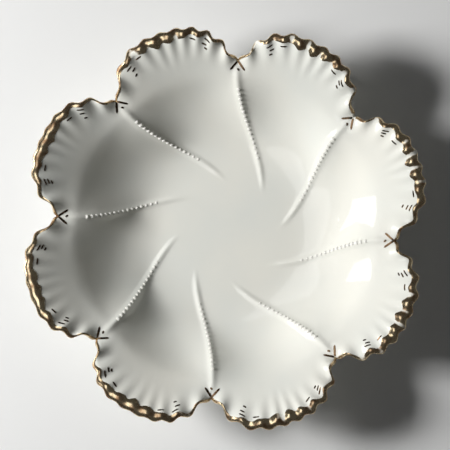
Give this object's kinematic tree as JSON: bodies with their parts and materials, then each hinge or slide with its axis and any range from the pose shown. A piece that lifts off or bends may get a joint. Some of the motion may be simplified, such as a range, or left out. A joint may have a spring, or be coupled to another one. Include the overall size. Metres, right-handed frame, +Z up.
{
  "type": "leaf dish",
  "caption": "Shallow round porcelain serving dish moulded as a pinwheel of cupped leaves, with beaded swirling ribs, a fluted gilded rim and a foot ring to stand on.",
  "frame": {"origin": "centre of the foot ring's standing face, on the table", "axes": "+Z up along the dish's axis, +X along the middle of leaf 1; leaves are numbered anticlockwise seen from above, and bead row k lies on the rib after leaf k"},
  "size_m": [0.2366, 0.2366, 0.046],
  "materials": {
    "glaze": "cream-white glazed porcelain, glossy",
    "foot": "glazed porcelain ring with its standing edge wiped bare",
    "gilt": "fired gold, burnished and worn by hand",
    "beads": "slip beads under the same glossy glaze"
  },
  "bodies": {
    "root": {"dish_body": "glaze", "foot_ring": "foot", "gilt_edge_1": "gilt", "gilt_edge_2": "gilt", "gilt_edge_3": "gilt", "gilt_edge_4": "gilt", "gilt_edge_5": "gilt", "gilt_edge_6": "gilt", "gilt_edge_7": "gilt", "gilt_edge_8": "gilt", "bead_row_1": "beads", "bead_row_2": "beads", "bead_row_3": "beads", "bead_row_4": "beads", "bead_row_5": "beads", "bead_row_6": "beads", "bead_row_7": "beads", "bead_row_8": "beads"}
  },
  "joints": []
}
